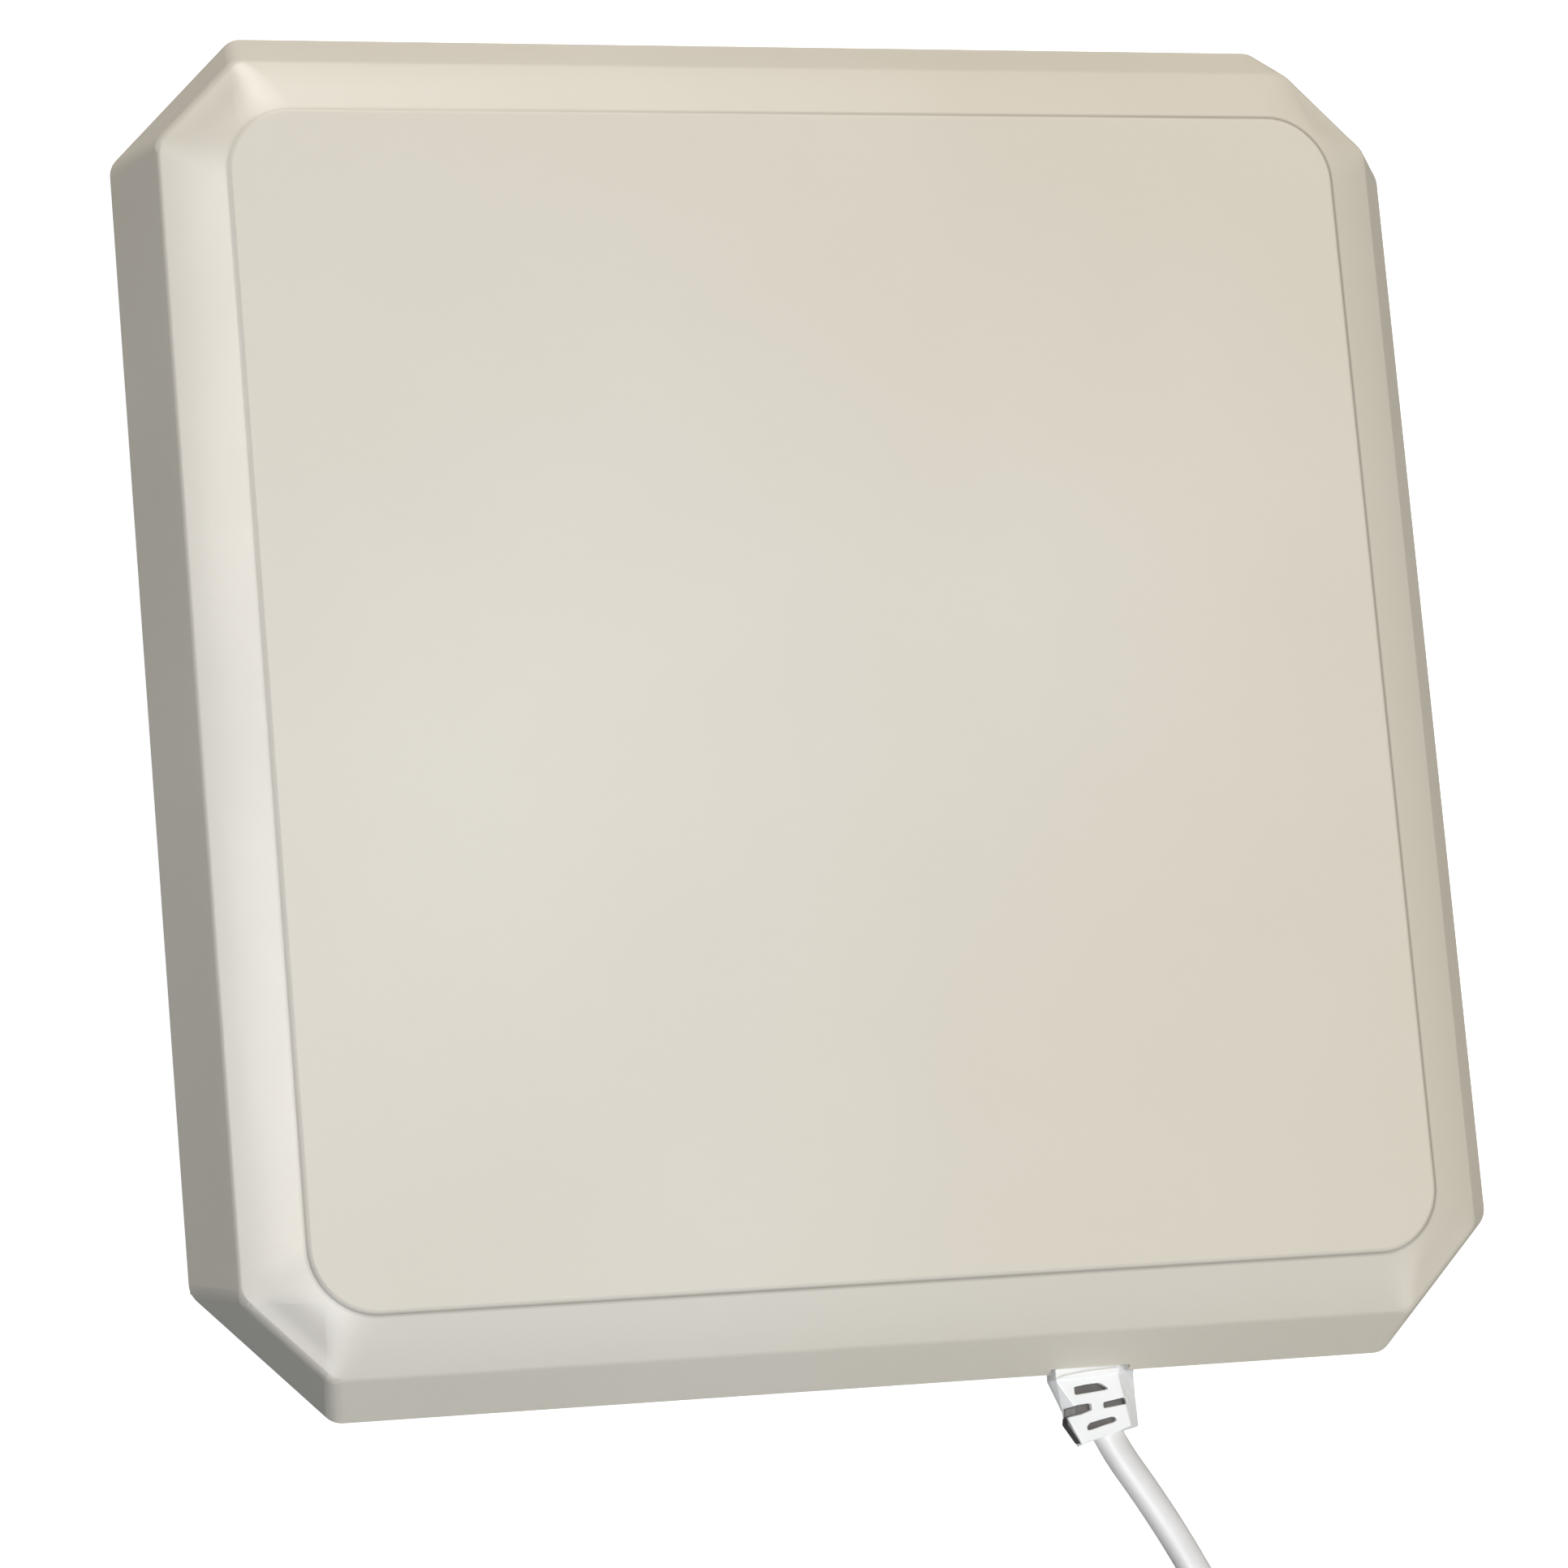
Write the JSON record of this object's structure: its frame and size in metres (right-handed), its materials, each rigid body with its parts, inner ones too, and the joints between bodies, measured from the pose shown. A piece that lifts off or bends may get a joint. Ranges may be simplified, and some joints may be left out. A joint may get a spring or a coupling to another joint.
{
  "type": "security gate antenna panel",
  "caption": "Flat square antenna panel with cut corners, a bevelled raised face, a shallow rear tray with a square of threaded inserts, and a captive lead with a threaded coaxial plug.",
  "frame": {"origin": "centre of the flat rear face of the tray, which is the face that goes against a wall, post or table", "axes": "+Z out of the front face, -Y towards the wall that the lead leaves, +X to the right when the face is seen with the lead at the bottom"},
  "size_m": [0.26, 0.4018, 0.028],
  "materials": {
    "cover_plastic": "fine moulded satin, warm off-white",
    "tray_plastic": "moulded satin, light grey-beige",
    "relief_plastic": "smooth white moulding",
    "lead_jacket": "smooth light grey cable jacket",
    "seal_rubber": "black silicone",
    "sleeve_black": "heat-shrink sleeve",
    "tie_nylon": "natural nylon",
    "screw_steel": "zinc plated",
    "insert_brass": "turned brass",
    "plate_aluminium": "rolled sheet",
    "spacer_nylon": "natural nylon",
    "board_laminate": "glass epoxy with solder mask",
    "track_copper": "bare copper",
    "solder": "bright solder",
    "ceramic_white": "thick-film resistor body",
    "dielectric": "translucent polymer",
    "label_film": "blank matt silver film",
    "plug_nickel": "nickel plate",
    "pin_gold": "gold plate"
  },
  "bodies": {
    "panel": {"front_cover": "cover_plastic", "rear_tray": "tray_plastic", "cover_seal": "seal_rubber", "cover_screws": "screw_steel", "rating_label": "label_film", "mounting_inserts": "insert_brass", "ground_plate": "plate_aluminium", "ground_plate_screws": "screw_steel", "patch_element": "plate_aluminium", "patch_standoffs": "spacer_nylon", "centre_post": "plate_aluminium", "patch_screws": "spacer_nylon", "patch_nuts": "spacer_nylon", "feed_probes": "insert_brass", "probe_bushes": "dielectric", "feed_board": "board_laminate", "feed_tracks": "track_copper", "load_resistor": "ceramic_white", "board_screws": "screw_steel", "solder_joints": "solder", "feed_cable": "lead_jacket", "cable_core": "dielectric", "cable_conductor": "track_copper", "cable_clamp": "spacer_nylon", "clamp_screws": "screw_steel", "strain_relief": "relief_plastic", "lead": "lead_jacket", "lead_coil": "lead_jacket", "lead_end": "lead_jacket", "coil_tie": "tie_nylon", "crimp_ferrule": "plug_nickel", "lead_sleeve": "sleeve_black", "connector_body": "plug_nickel", "connector_insulator": "dielectric", "centre_pin": "pin_gold", "retaining_ring": "screw_steel", "connector_seal": "seal_rubber"},
    "coupling_nut": {"coupling_nut": "plug_nickel"}
  },
  "joints": [
    {"name": "nut_spin", "type": "hinge", "parent": "panel", "child": "coupling_nut", "pos_m": [-0.0385, -0.2645, 0.0076], "axis": [-1, 0, 0], "continuous": true}
  ]
}
